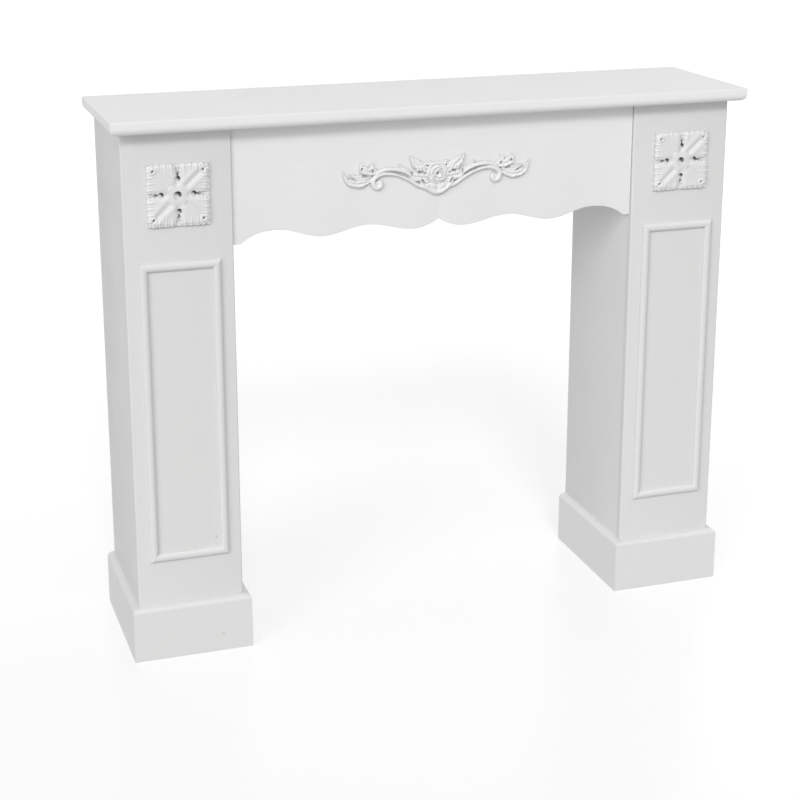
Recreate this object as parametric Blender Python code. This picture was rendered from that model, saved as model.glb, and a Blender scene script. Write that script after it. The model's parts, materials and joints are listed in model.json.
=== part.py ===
"""Painted fireplace mantelpiece: a shelf, a scalloped frieze and two box pilasters with carved mounts.

Metres, +Z up. The mantelpiece stands on z = 0 with its back against a wall at y = +SHELF_DEPTH / 2
and is seen from -Y. Left and right are those of somebody who faces it.
"""
import math

import bmesh
import bpy
from mathutils import Matrix, Vector

# Overall sizes
MANTEL_HEIGHT = 1.000
SHELF_LENGTH = 1.195
SHELF_DEPTH = 0.302
JOINT_GAP = 0.0003            # glue line between two pieces that touch
BOARD_THICKNESS = 0.015

# Shelf
SHELF_THICKNESS = 0.024
SHELF_QUARTER_ROUND = 0.012   # rounded away under the front and the two ends
SHELF_ARRIS = 0.0015
FRONT_OVERHANG = 0.036
SIDE_OVERHANG = 0.0205

# Pilasters, boxes of three boards that are open at the back
PILASTER_WIDTH = 0.193
PILASTER_ARRIS = 0.0025

# Plinths, mitred skirting round the foot of each pilaster
PLINTH_HEIGHT = 0.1035
PLINTH_PROJECTION = 0.014
PLINTH_ROUND_RISE = 0.009
PLINTH_TOP_FLAT = 0.002

# Raised panel moulding on each pilaster
PANEL_WIDTH = 0.146
PANEL_ABOVE_PLINTH = 0.0845
PANEL_BELOW_ROSETTE = 0.064
MOULDING_WIDTH = 0.015
MOULDING_RISE = 0.008
MOULDING_FILLET = 0.002       # straight edge at both sides of the round

# Frieze board between the pilasters
FRIEZE_HEIGHT = 0.210
FRIEZE_SETBACK = 0.006
FRIEZE_END_GAP = 0.001
# Lower edge from the end to the middle: share of the half length, and rise above the lowest level
FRIEZE_EDGE = ((1.0, 0.0), (0.966, 0.0), (0.794, 0.021), (0.573, 0.003), (0.352, 0.018), (0.125, 0.004),
               (0.0, 0.020))
FRIEZE_EDGE_STEPS = 7

# Carved square rosettes at the heads of the pilasters
ROSETTE_SIZE = 0.110
ROSETTE_RELIEF = 0.0095
ROSETTE_BELOW_SHELF = 0.1115  # centre of the rosette below the shelf's underside
ROSETTE_CELLS = 28            # across the carving
ROSETTE_TEETH = 5             # along half a side
# Shares of half the rosette's size
ROSETTE_TOOTH_DEPTH = 0.022
ROSETTE_SLIT_HALF = 0.035
ROSETTE_EYE_PLACE = 0.52
ROSETTE_EYE_RADIUS = 0.085
ROSETTE_HOLE_RADIUS = 0.135

# Carved rose with leaf scrolls on the frieze
ONLAY_LENGTH = 0.356
ONLAY_RELIEF = 0.0145
ROSE_BELOW_SHELF = 0.105
ROSE_X = -0.005                # the rose sits a little left of the middle
CARVING_SINK = 0.003          # depth that is carved past the back before the back is cut flat

COLLECTION_NAME = "fireplace_mantelpiece"
CUTTER_COLLECTION_NAME = "cutters"

# Levels and faces that follow from the sizes above
SHELF_UNDERSIDE = MANTEL_HEIGHT - SHELF_THICKNESS
BACK_Y = SHELF_DEPTH / 2
PILASTER_FACE_Y = -SHELF_DEPTH / 2 + FRONT_OVERHANG
PILASTER_TOP = SHELF_UNDERSIDE - JOINT_GAP
PILASTER_OUTER_X = SHELF_LENGTH / 2 - SIDE_OVERHANG
PILASTER_INNER_X = PILASTER_OUTER_X - PILASTER_WIDTH
PILASTER_MIDDLE_X = PILASTER_OUTER_X - PILASTER_WIDTH / 2
FRIEZE_FACE_Y = PILASTER_FACE_Y + FRIEZE_SETBACK
FRIEZE_HALF = PILASTER_INNER_X - FRIEZE_END_GAP
ROSETTE_Z = SHELF_UNDERSIDE - ROSETTE_BELOW_SHELF
ROSE_Z = SHELF_UNDERSIDE - ROSE_BELOW_SHELF
PANEL_BOTTOM = PLINTH_HEIGHT + PANEL_ABOVE_PLINTH
PANEL_TOP = ROSETTE_Z - ROSETTE_SIZE / 2 - PANEL_BELOW_ROSETTE
MITRE_SETBACK = JOINT_GAP / math.sqrt(2)

BOARD_PAINT = (0.84, 0.84, 0.83)
CARVING_PAINT = (0.86, 0.86, 0.85)

AXIS_X = Vector((1, 0, 0))
AXIS_Y = Vector((0, 1, 0))
AXIS_Z = Vector((0, 0, 1))


def clear_scene():
    """Start from an empty scene."""
    for item in list(bpy.data.objects):
        bpy.data.objects.remove(item, do_unlink=True)


def new_collection(name):
    """A collection that is linked to the scene."""
    collection = bpy.data.collections.new(name)
    bpy.context.scene.collection.children.link(collection)
    return collection


def paint(name, colour, roughness):
    """Satin paint on wood."""
    material = bpy.data.materials.new(name)
    material.use_nodes = True
    shader = material.node_tree.nodes["Principled BSDF"]
    shader.inputs["Base Color"].default_value = (*colour, 1.0)
    shader.inputs["Roughness"].default_value = roughness
    shader.inputs["Metallic"].default_value = 0.0
    material.diffuse_color = (*colour, 1.0)
    return material


def add_object(name, mesh, collection, colour=BOARD_PAINT, roughness=0.45):
    """One piece of the mantelpiece, with its own paint."""
    mesh.name = name
    item = bpy.data.objects.new(name, mesh)
    collection.objects.link(item)
    mesh.materials.clear()
    mesh.materials.append(paint(name + "_paint", colour, roughness))
    return item


def box(low, high):
    """A bmesh box between two corners."""
    bm = bmesh.new()
    size = Vector(high) - Vector(low)
    middle = (Vector(high) + Vector(low)) / 2
    matrix = Matrix.Translation(middle) @ Matrix.Diagonal((*size, 1.0))
    bmesh.ops.create_cube(bm, size=1.0, matrix=matrix)
    return bm


def finished(bm):
    """The mesh of a bmesh, with its faces turned outwards."""
    bmesh.ops.recalc_face_normals(bm, faces=bm.faces)
    mesh = bpy.data.meshes.new("piece")
    bm.to_mesh(mesh)
    bm.free()
    return mesh


def round_edges(bm, wanted, radius, segments):
    """Round the edges whose middle and direction satisfy wanted."""
    edges = []
    for edge in bm.edges:
        start, end = (vert.co for vert in edge.verts)
        if wanted((start + end) / 2, (end - start).normalized()):
            edges.append(edge)
    bmesh.ops.bevel(bm, geom=edges, offset=radius, segments=segments, profile=0.5, affect="EDGES",
                    clamp_overlap=True)


def extruded_outline(outline, length):
    """A closed mesh of a flat outline in XY that runs along Z from -length / 2 to length / 2."""
    curve = bpy.data.curves.new("outline", "CURVE")
    curve.dimensions = "2D"
    curve.fill_mode = "BOTH"
    curve.extrude = length / 2
    spline = curve.splines.new("POLY")
    spline.points.add(len(outline) - 1)
    for point, (x, y) in zip(spline.points, outline):
        point.co = (x, y, 0.0, 1.0)
    spline.use_cyclic_u = True
    item = bpy.data.objects.new("outline", curve)
    bpy.context.scene.collection.objects.link(item)
    depsgraph = bpy.context.evaluated_depsgraph_get()
    mesh = bpy.data.meshes.new_from_object(item.evaluated_get(depsgraph))
    bpy.data.objects.remove(item, do_unlink=True)
    bm = bmesh.new()
    bm.from_mesh(mesh)
    bpy.data.meshes.remove(mesh)
    bmesh.ops.remove_doubles(bm, verts=bm.verts, dist=1e-6)
    return bm


def moulding(outline, length, long_side, mitred, origin, axes):
    """A straight moulding: outline (p, q) along a run, with axes = the directions of p, q and the run.

    long_side is the p at which the run has its full length, and mitred says which of its two ends
    are cut back at 45 degrees from there.
    """
    bm = extruded_outline(outline, length)
    for vert in bm.verts:
        end = 1 if vert.co.z > 0 else 0
        if mitred[end]:
            cut = MITRE_SETBACK + abs(vert.co.x - long_side)
            vert.co.z -= math.copysign(cut, vert.co.z)
    turn = Matrix(axes).transposed().to_4x4()
    bmesh.ops.transform(bm, matrix=Matrix.Translation(origin) @ turn, verts=bm.verts)
    return finished(bm)


def make_shelf(collection):
    """The mantel shelf, square above and rounded under its front and ends, flush with the wall."""
    half = SHELF_LENGTH / 2
    bm = box((-half, -BACK_Y, SHELF_UNDERSIDE), (half, BACK_Y, MANTEL_HEIGHT))

    def showing(middle):
        return abs(middle.x) > half * 0.99 or middle.y < -BACK_Y * 0.99

    def under(middle, way):
        return abs(way.z) < 0.5 and middle.z < SHELF_UNDERSIDE + SHELF_ARRIS and showing(middle)

    def above(middle, way):
        return abs(way.z) < 0.5 and middle.z > MANTEL_HEIGHT - SHELF_ARRIS and showing(middle)

    round_edges(bm, under, SHELF_QUARTER_ROUND, 5)
    round_edges(bm, above, SHELF_ARRIS, 2)
    add_object("mantel_shelf", finished(bm), collection)


def ease_step(share):
    """A quick rise that flattens out, for the step beside a pilaster."""
    return 1 - (1 - share) ** 2.5


def ease_wave(share):
    """A wave's rise or fall."""
    return (1 - math.cos(math.pi * share)) / 2


def ease_cusp(share):
    """A rise that steepens to a point, for the cusp in the middle."""
    return share * share


def frieze_outline():
    """The frieze board seen from the front, with x across and y up from the middle of the shelf."""
    low = -FRIEZE_HEIGHT
    eases = [ease_wave] * (len(FRIEZE_EDGE) - 1)
    eases[1] = ease_step
    eases[-1] = ease_cusp
    half = []
    for index, ease in enumerate(eases):
        (share_a, rise_a), (share_b, rise_b) = FRIEZE_EDGE[index:index + 2]
        steps = 1 if rise_a == rise_b else FRIEZE_EDGE_STEPS
        for step in range(steps):
            part = step / steps
            share = share_a + (share_b - share_a) * part
            rise = rise_a + (rise_b - rise_a) * ease(part)
            half.append((share * FRIEZE_HALF, low + rise))
    middle = [(0.0, low + FRIEZE_EDGE[-1][1])]
    other = [(-x, y) for x, y in reversed(half)]
    top = [(-FRIEZE_HALF, 0.0), (FRIEZE_HALF, 0.0)]
    return half + middle + other + top


def make_frieze(collection):
    """The frieze board between the pilasters, set back a little from their faces."""
    bm = extruded_outline(frieze_outline(), BOARD_THICKNESS)
    place = Matrix.Translation((0.0, FRIEZE_FACE_Y + BOARD_THICKNESS / 2, PILASTER_TOP))
    turn = Matrix.Rotation(math.radians(90), 4, "X")
    bmesh.ops.transform(bm, matrix=place @ turn, verts=bm.verts)
    add_object("frieze_board", finished(bm), collection)


def make_pilaster(side_name, side, collection):
    """One pilaster: a front board with eased arrises, and two side boards behind it."""
    edges = sorted((side * PILASTER_INNER_X, side * PILASTER_OUTER_X))
    board_back = PILASTER_FACE_Y + BOARD_THICKNESS
    bm = box((edges[0], PILASTER_FACE_Y, 0.0), (edges[1], board_back, PILASTER_TOP))

    def front_arris(middle, way):
        return abs(way.z) > 0.5 and middle.y < board_back - BOARD_THICKNESS / 2

    round_edges(bm, front_arris, PILASTER_ARRIS, 3)
    add_object(side_name + "_pilaster_front", finished(bm), collection)

    for where, face_x, inwards in (("outer", PILASTER_OUTER_X, -1), ("inner", PILASTER_INNER_X, 1)):
        xs = sorted((side * face_x, side * (face_x + inwards * BOARD_THICKNESS)))
        bm = box((xs[0], board_back + JOINT_GAP, 0.0), (xs[1], BACK_Y, PILASTER_TOP))
        add_object(f"{side_name}_pilaster_{where}_side", finished(bm), collection)


def plinth_outline():
    """Section of the skirting: p out from the pilaster, q up, with a rounded upper edge."""
    reach = PLINTH_PROJECTION - PLINTH_TOP_FLAT - JOINT_GAP
    spring = PLINTH_HEIGHT - PLINTH_ROUND_RISE
    points = [(JOINT_GAP, 0.0), (PLINTH_PROJECTION, 0.0)]
    steps = 5
    for step in range(steps + 1):
        angle = math.radians(90) * step / steps
        out = PLINTH_PROJECTION - reach * (1 - math.cos(angle))
        points.append((out, spring + PLINTH_ROUND_RISE * math.sin(angle)))
    points.append((JOINT_GAP, PLINTH_HEIGHT))
    return points


def make_plinth(side_name, side, collection):
    """The skirting round one pilaster: a front board and two sides, mitred at the front corners."""
    outline = plinth_outline()
    reach = PLINTH_PROJECTION
    front = moulding(outline, PILASTER_WIDTH + 2 * reach, reach, (True, True),
                     (side * PILASTER_MIDDLE_X, PILASTER_FACE_Y, 0.0), (-AXIS_Y, AXIS_Z, AXIS_X))
    add_object(side_name + "_plinth_front", front, collection)
    length = BACK_Y - (PILASTER_FACE_Y - reach)
    middle_y = BACK_Y - length / 2
    for where, face_x, outwards in (("outer", PILASTER_OUTER_X, 1), ("inner", PILASTER_INNER_X, -1)):
        out = side * outwards * AXIS_X
        mesh = moulding(outline, length, reach, (False, True), (side * face_x, middle_y, 0.0),
                        (out, AXIS_Z, -AXIS_Y))
        add_object(f"{side_name}_plinth_{where}_side", mesh, collection)


def moulding_outline():
    """Section of the panel moulding: p across it from its outer edge, q out from the pilaster."""
    points = [(0.0, JOINT_GAP)]
    steps = 8
    rise = MOULDING_RISE - MOULDING_FILLET
    for step in range(steps + 1):
        angle = math.pi * step / steps
        across = MOULDING_WIDTH * (1 - math.cos(angle)) / 2
        points.append((across, MOULDING_FILLET + rise * math.sin(angle)))
    points.append((MOULDING_WIDTH, JOINT_GAP))
    return points


def make_panel_moulding(side_name, side, collection):
    """The mitred frame of half-round moulding on one pilaster."""
    outline = moulding_outline()
    height = PANEL_TOP - PANEL_BOTTOM
    middle_x = side * PILASTER_MIDDLE_X
    middle_z = PANEL_BOTTOM + height / 2
    half = PANEL_WIDTH / 2
    strips = (
        ("top", PANEL_WIDTH, (middle_x, PILASTER_FACE_Y, PANEL_TOP), -AXIS_Z, AXIS_X),
        ("bottom", PANEL_WIDTH, (middle_x, PILASTER_FACE_Y, PANEL_BOTTOM), AXIS_Z, AXIS_X),
        ("outer", height, (middle_x + side * half, PILASTER_FACE_Y, middle_z), -side * AXIS_X, AXIS_Z),
        ("inner", height, (middle_x - side * half, PILASTER_FACE_Y, middle_z), side * AXIS_X, AXIS_Z),
    )
    for where, length, origin, inwards, run in strips:
        mesh = moulding(outline, length, 0.0, (True, True), origin, (inwards, -AXIS_Y, run))
        add_object(f"{side_name}_panel_moulding_{where}", mesh, collection)


def ramp(value, low, high):
    """Smooth step from 0 at low to 1 at high."""
    share = min(max((value - low) / (high - low), 0.0), 1.0)
    return share * share * (3 - 2 * share)


def hump(value, middle, width):
    """A bell of height 1 about middle."""
    return math.exp(-((value - middle) / width) ** 2)


def rosette_height(u, v):
    """Relief of the rosette as a share of its full relief, at u and v from -1 to 1.

    Four folded leaves point to the corners. Each has a channel along its diagonal and ribs that run
    out to toothed edges. Slits part the leaves, each from a drilled eye, and the middle is a ring
    round a hole.
    """
    a, b = abs(u), abs(v)
    near, far = min(a, b), max(a, b)
    distance = math.hypot(u, v)
    fold = (far - near) / math.sqrt(2)
    height = 0.50 + 0.28 * ramp(near, 0.0, 0.22)
    height += 0.14 * hump(fold, 0.20, 0.10)
    height -= 0.22 * hump(fold, 0.0, 0.09) * ramp(distance, 0.30, 0.45)
    rib = math.cos(2 * math.pi * near * ROSETTE_TEETH)
    height += 0.07 * rib * ramp(far, 0.60, 0.90)
    height -= 0.22 * ramp(far, 0.86, 1.0)
    slit = 1 - ramp(near, ROSETTE_SLIT_HALF * 0.4, ROSETTE_SLIT_HALF * 1.4)
    height -= 0.34 * slit * ramp(far, ROSETTE_EYE_PLACE, 0.75)
    eye = math.hypot(near, far - ROSETTE_EYE_PLACE)
    height -= 0.55 * (1 - ramp(eye, ROSETTE_EYE_RADIUS * 0.6, ROSETTE_EYE_RADIUS * 1.3))
    height += (0.92 - height) * (1 - ramp(distance, 0.22, 0.36))
    hole = 1 - ramp(distance, ROSETTE_HOLE_RADIUS * 0.75, ROSETTE_HOLE_RADIUS * 1.2)
    return height - 0.55 * hole


def rosette_place(share):
    """Draw the grid lines together beside the axes, where the slits, eyes and the hole are."""
    return share * (0.5 + 0.5 * ramp(abs(share), 0.0, 0.6))


def quarter_sign(face):
    """1 for a cell in the quarters along the rising diagonal, -1 in the others."""
    middle = face.calc_center_median()
    return 1 if middle.x * middle.y > 0 else -1


def make_rosette(side_name, side, collection):
    """One carved rosette, with a flat back and its cells split along the leaves."""
    half = ROSETTE_SIZE / 2
    bm = bmesh.new()
    bmesh.ops.create_grid(bm, x_segments=ROSETTE_CELLS, y_segments=ROSETTE_CELLS, size=1.0)
    for method, quarter in (("FIXED", 1), ("ALTERNATE", -1)):
        cells = [face for face in bm.faces if quarter_sign(face) == quarter]
        bmesh.ops.triangulate(bm, faces=cells, quad_method=method)
    rim = [edge for edge in bm.edges if edge.is_boundary]
    back = bmesh.ops.extrude_edge_only(bm, edges=rim)
    back_verts = {item for item in back["geom"] if isinstance(item, bmesh.types.BMVert)}
    back_edges = [item for item in back["geom"] if isinstance(item, bmesh.types.BMEdge)
                  and item.verts[0] in back_verts and item.verts[1] in back_verts]
    bmesh.ops.contextual_create(bm, geom=back_edges)
    for vert in bm.verts:
        u, v = rosette_place(vert.co.x), rosette_place(vert.co.y)
        height = JOINT_GAP if vert in back_verts else rosette_height(u, v) * ROSETTE_RELIEF
        along = min(abs(u), abs(v))
        if max(abs(u), abs(v)) > 0.999:
            tooth = (1 - math.cos(2 * math.pi * along * ROSETTE_TEETH)) / 2
            shrink = 1 - ROSETTE_TOOTH_DEPTH * tooth
            u, v = u * shrink, v * shrink
        vert.co = (u * half, v * half, height)
    place = Matrix.Translation((side * PILASTER_MIDDLE_X, PILASTER_FACE_Y, ROSETTE_Z))
    turn = Matrix.Rotation(math.radians(90), 4, "X")
    bmesh.ops.transform(bm, matrix=place @ turn, verts=bm.verts)
    add_object(side_name + "_rosette", finished(bm), collection, CARVING_PAINT)


# Carving of the onlay. Its spines are drawn for a half length of 178 and a relief of 14.5, with x out
# from the middle of the rose and z up from it, and are scaled to the sizes above.
DRAWN_HALF = 178.0
DRAWN_RELIEF = 14.5
SECTION = ((-1.0, 0.30), (-0.58, 1.0), (0.0, 0.66), (0.58, 1.0), (1.0, 0.30))
ROUND_SECTION = ((-1.0, 0.30), (-0.62, 0.86), (0.0, 1.0), (0.62, 0.86), (1.0, 0.30))
SCROLL = ((5, -31), (25, -26), (47, -12), (70, 3), (94, 8), (112, 4), (121, -7), (118, -18), (110, -19),
          (109, -12))
SCROLL_HALF_WIDTHS = (6.5, 6.0, 5.5, 5.2, 5.0, 5.0, 5.0, 4.8, 4.4, 3.8)
# Leaves: spine, half width, share of the length where it is widest, height
LEAVES = (
    (((116, -1), (134, -8), (152, -11), (168, -4), (178, 14)), 7.5, 0.50, 9.0),
    (((120, 2), (136, 3), (150, 2), (165, 7)), 6.0, 0.45, 8.0),
    (((110, 4), (124, 9), (136, 14), (142, 25)), 8.5, 0.62, 10.0),
    (((54, -8), (64, 6), (75, 19)), 4.5, 0.45, 6.5),
    (((8, -4), (28, 6), (43, 18), (51, 35)), 12.0, 0.50, 10.0),
    (((8, -6), (26, -5), (42, -4), (57, 3)), 9.0, 0.50, 8.5),
    (((6, -12), (22, -16), (38, -23)), 9.0, 0.60, 9.0),
)
LEAF_LOBE_COUNTS = (2, 1, 2, 1, 3, 2, 2)
CUP = (((0, -2), (0, -20), (0, -39)), 21.0, 0.45, 8.5)
CUP_LOBES = 2
# Rings of petals: radius, half width, height, share of a turn that each petal takes
PETAL_RINGS = ((13.5, 4.6, 11.5, 0.27), (7.0, 3.2, 13.5, 0.42))
PETAL_COUNTS = (5, 3)
BUD_RADIUS = 3.4
HEART_RADIUS = 16.0
HEART_HEIGHT = 8.5


def smooth_path(points, count):
    """Points evenly spread in parameter along a Catmull-Rom curve through the given ones."""
    ends = [2 * points[0] - points[1], *points, 2 * points[-1] - points[-2]]
    path = []
    for step in range(count):
        place = step / (count - 1) * (len(points) - 1)
        index = min(int(place), len(points) - 2)
        t = place - index
        p0, p1, p2, p3 = ends[index:index + 4]
        path.append(((2 * p1) + (p2 - p0) * t + (2 * p0 - 5 * p1 + 4 * p2 - p3) * t ** 2
                     + (3 * p1 - p0 - 3 * p2 + p3) * t ** 3) / 2)
    return path


def loft(bm, path, half_widths, heights, section):
    """A closed carved form along a flat path, sunk past the back so that the back can be cut flat."""
    rings = []
    for index, point in enumerate(path):
        ahead = path[min(index + 1, len(path) - 1)] - path[max(index - 1, 0)]
        across = Vector((-ahead.y, ahead.x)).normalized()
        ring = []
        for place, share in section:
            spot = point + across * half_widths[index] * place
            ring.append(bm.verts.new((spot.x, spot.y, heights[index] * share)))
        for place in (0.8, -0.8):
            spot = point + across * half_widths[index] * place
            ring.append(bm.verts.new((spot.x, spot.y, -CARVING_SINK)))
        rings.append(ring)
    faces = []
    size = len(rings[0])
    for ring, following in zip(rings, rings[1:]):
        for index in range(size):
            after = (index + 1) % size
            faces.append(bm.faces.new((ring[index], ring[after], following[after], following[index])))
    faces.append(bm.faces.new(rings[0]))
    faces.append(bm.faces.new(rings[-1]))
    bmesh.ops.recalc_face_normals(bm, faces=faces)


def carved_leaf(bm, leaf, lobes, side, plan, relief):
    """One leaf of the onlay, with lobed edges and a crease along its spine."""
    spine, half_width, widest, height = leaf
    points = [Vector((side * x * plan, z * plan)) for x, z in spine]
    count = 6 * lobes + 1
    path = smooth_path(points, count)
    power = math.log(0.5) / math.log(widest)
    widths, heights = [], []
    for step in range(count):
        share = step / (count - 1)
        swell = math.sin(math.pi * min(max(share, 0.04), 0.98) ** power)
        lobe = 1 - 0.20 * (1 - abs(math.cos(math.pi * lobes * share)))
        widths.append(half_width * plan * swell ** 0.8 * lobe)
        heights.append(height * relief * (0.45 + 0.55 * swell))
    loft(bm, path, widths, heights, SECTION)


def carved_scroll(bm, side, plan, relief):
    """The stem that rises from under the rose and curls down at its end."""
    points = [Vector((side * x * plan, z * plan)) for x, z in SCROLL]
    count = 2 * len(SCROLL) + 7
    path = smooth_path(points, count)
    widths = [w.x for w in smooth_path([Vector((w * plan, 0)) for w in SCROLL_HALF_WIDTHS], count)]
    heights = [8.0 * relief] * count
    loft(bm, path, widths, heights, SECTION)


def carved_petals(bm, plan, relief):
    """The rose: rings of petals that overlap, round a bud."""
    stations = 8
    for number, (radius, half_width, height, sweep) in zip(PETAL_COUNTS, PETAL_RINGS):
        for petal in range(number):
            start = petal / number
            path = []
            for step in range(stations):
                share = step / (stations - 1)
                angle = 2 * math.pi * (start + sweep * share)
                reach = radius * plan * (1.10 - 0.20 * share)
                path.append(Vector((math.cos(angle), math.sin(angle))) * reach)
            swell = [math.sin(math.pi * (0.12 + 0.76 * step / (stations - 1))) for step in range(stations)]
            widths = [half_width * plan * share for share in swell]
            heights = [height * relief * (0.75 + 0.25 * share) for share in swell]
            loft(bm, path, widths, heights, ROUND_SECTION)


def carved_dome(bm, radius, height, plan, relief):
    """A low dome, round in plan and centred on the back plane."""
    matrix = Matrix.Diagonal((radius * plan, radius * plan, height * relief, 1.0))
    bmesh.ops.create_uvsphere(bm, u_segments=14, v_segments=8, radius=1.0, matrix=matrix)


def make_onlay(collection, cutters):
    """The rose with its leaf scrolls, carved as one and cut flat behind."""
    plan = ONLAY_LENGTH / 2 / DRAWN_HALF
    relief = ONLAY_RELIEF / DRAWN_RELIEF
    bm = bmesh.new()
    for side in (-1, 1):
        carved_scroll(bm, side, plan, relief)
        for leaf, lobes in zip(LEAVES, LEAF_LOBE_COUNTS):
            carved_leaf(bm, leaf, lobes, side, plan, relief)
    carved_leaf(bm, CUP, CUP_LOBES, 1, plan, relief)
    carved_petals(bm, plan, relief)
    carved_dome(bm, HEART_RADIUS, HEART_HEIGHT, plan, relief)
    carved_dome(bm, BUD_RADIUS, DRAWN_RELIEF, plan, relief)
    place = Matrix.Translation((ROSE_X, FRIEZE_FACE_Y, ROSE_Z))
    turn = Matrix.Rotation(math.radians(90), 4, "X")
    bmesh.ops.transform(bm, matrix=place @ turn, verts=bm.verts)
    mesh = bpy.data.meshes.new("carving")
    bm.to_mesh(mesh)
    bm.free()
    onlay = add_object("frieze_onlay", mesh, collection, CARVING_PAINT)

    behind = FRIEZE_FACE_Y - JOINT_GAP
    slab = box((-FRIEZE_HALF, behind, ROSE_Z - FRIEZE_HEIGHT), (FRIEZE_HALF, behind + 0.05, MANTEL_HEIGHT))
    cutter = add_object("onlay_back_cutter", finished(slab), cutters)
    cutter.hide_render = True
    cutter.display_type = "WIRE"
    cut = onlay.modifiers.new("flat back", "BOOLEAN")
    cut.operation = "DIFFERENCE"
    cut.solver = "EXACT"
    cut.use_self = True
    cut.object = cutter


def main():
    clear_scene()
    collection = new_collection(COLLECTION_NAME)
    cutters = new_collection(CUTTER_COLLECTION_NAME)
    make_shelf(collection)
    make_frieze(collection)
    make_onlay(collection, cutters)
    for side_name, side in (("left", -1), ("right", 1)):
        make_pilaster(side_name, side, collection)
        make_plinth(side_name, side, collection)
        make_panel_moulding(side_name, side, collection)
        make_rosette(side_name, side, collection)


main()
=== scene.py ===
"""The painted mantelpiece as photographed: eased boards, mitred mouldings and carved mounts in satin white.

Metres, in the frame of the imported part: it stands on z = 0 with its back to a wall on the +Y side and is
seen from -Y. Left and right are those of somebody who faces it.
"""
import json
import math

import bmesh
import bpy
from mathutils import Matrix, Vector

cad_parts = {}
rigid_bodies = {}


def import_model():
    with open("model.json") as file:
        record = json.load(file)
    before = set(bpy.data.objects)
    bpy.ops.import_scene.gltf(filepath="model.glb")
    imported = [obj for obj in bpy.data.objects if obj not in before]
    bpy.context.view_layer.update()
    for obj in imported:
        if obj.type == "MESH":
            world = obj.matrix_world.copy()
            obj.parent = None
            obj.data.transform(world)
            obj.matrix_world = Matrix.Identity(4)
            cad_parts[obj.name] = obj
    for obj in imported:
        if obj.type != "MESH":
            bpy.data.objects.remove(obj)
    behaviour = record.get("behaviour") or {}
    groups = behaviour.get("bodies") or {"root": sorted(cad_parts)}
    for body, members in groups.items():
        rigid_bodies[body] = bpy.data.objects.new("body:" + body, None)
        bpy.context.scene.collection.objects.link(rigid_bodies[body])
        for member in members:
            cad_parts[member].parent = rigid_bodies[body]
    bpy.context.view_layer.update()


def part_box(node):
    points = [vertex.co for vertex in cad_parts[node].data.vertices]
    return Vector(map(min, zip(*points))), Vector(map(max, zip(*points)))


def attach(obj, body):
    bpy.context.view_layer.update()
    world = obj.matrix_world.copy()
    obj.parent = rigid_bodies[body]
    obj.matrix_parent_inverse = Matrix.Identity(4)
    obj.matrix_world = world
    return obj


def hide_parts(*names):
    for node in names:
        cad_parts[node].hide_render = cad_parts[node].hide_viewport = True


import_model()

# The camera, at the photograph's angle
CAMERA_PLACE = (-1.0630, -3.0464, 1.5057)
CAMERA_AIM = (-0.0344, 0.0100, 0.5917)
CAMERA_LENS = 79.16           # millimetres, on a sensor 36 mm wide
CAMERA_SENSOR = 36.0
CAMERA_SHIFT = -0.118

# The light: an even white room and four soft lamps. Angles are in degrees, left of the front and above.
ROOM_FILL = 0.34              # what the room adds to matt surfaces
ROOM_WHITE = 1.0              # what the room looks like, directly and in the paint's sheen
LAMPS = (
    ("main_lamp", 10.0, 36.0, 14.0, 1.15),    # name, left, rise, spread, strength
    ("top_lamp", 0.0, 78.0, 60.0, 0.46),
    ("side_lamp", 50.0, 22.0, 30.0, 1.12),
    ("back_lamp", -120.0, 30.0, 60.0, 0.35),
)
FLOOR_SIZE = 60.0
FLOOR_GREY = (0.42, 0.42, 0.42)
FLOOR_ROUGHNESS = 0.30
FLOOR_GLOW = 0.54             # lifts the floor's grey to the pale tone that is seen
FLOOR_BOUNCE = 0.57           # what the floor adds to matt surfaces

# Where the boards and mounts sit, read from the frame
SHELF_LOW, SHELF_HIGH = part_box("mantel_shelf")
FRIEZE_LOW, FRIEZE_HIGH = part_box("frieze_board")
PILASTER_LOW, PILASTER_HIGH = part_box("right_pilaster_front")
PLINTH_LOW, PLINTH_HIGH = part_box("right_plinth_front")
ROSETTE_LOW, ROSETTE_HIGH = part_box("right_rosette")
ONLAY_LOW, ONLAY_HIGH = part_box("frieze_onlay")
PANEL_TOP_LOW, PANEL_TOP_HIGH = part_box("right_panel_moulding_top")
PANEL_BOTTOM_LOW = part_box("right_panel_moulding_bottom")[0]

FRONT_Y = PILASTER_LOW.y
BACK_Y = SHELF_HIGH.y
PILASTER_INNER_X = PILASTER_LOW.x
PILASTER_OUTER_X = PILASTER_HIGH.x
PILASTER_MIDDLE_X = (PILASTER_INNER_X + PILASTER_OUTER_X) / 2
BOARD = FRIEZE_HIGH.y - FRIEZE_LOW.y

# Shelf
SHELF_QUARTER_ROUND = 0.012   # rounded away under the front and the two ends
SHELF_ARRIS = 0.0015

# Pilasters and frieze
PILASTER_ARRIS = 0.0025
BOARD_ARRIS = 0.0005
FRIEZE_ARRIS = 0.0012
# Lower edge from the end to the middle: share of the half length, and rise above the lowest level
FRIEZE_EDGE = ((1.0, 0.0), (0.966, 0.0), (0.794, 0.021), (0.573, 0.003), (0.352, 0.018), (0.125, 0.004),
               (0.0, 0.020))
FRIEZE_EDGE_STEPS = 16

# Plinths
PLINTH_PROJECTION = FRONT_Y - PLINTH_LOW.y
PLINTH_ROUND_RISE = 0.009
PLINTH_TOP_FLAT = 0.002
PLINTH_ROUND_STEPS = 12

# Panel mouldings
MOULDING_WIDTH = 0.015
MOULDING_RISE = 0.008
MOULDING_FILLET = 0.002       # straight edge at both sides of the round
MOULDING_STEPS = 20

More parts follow.
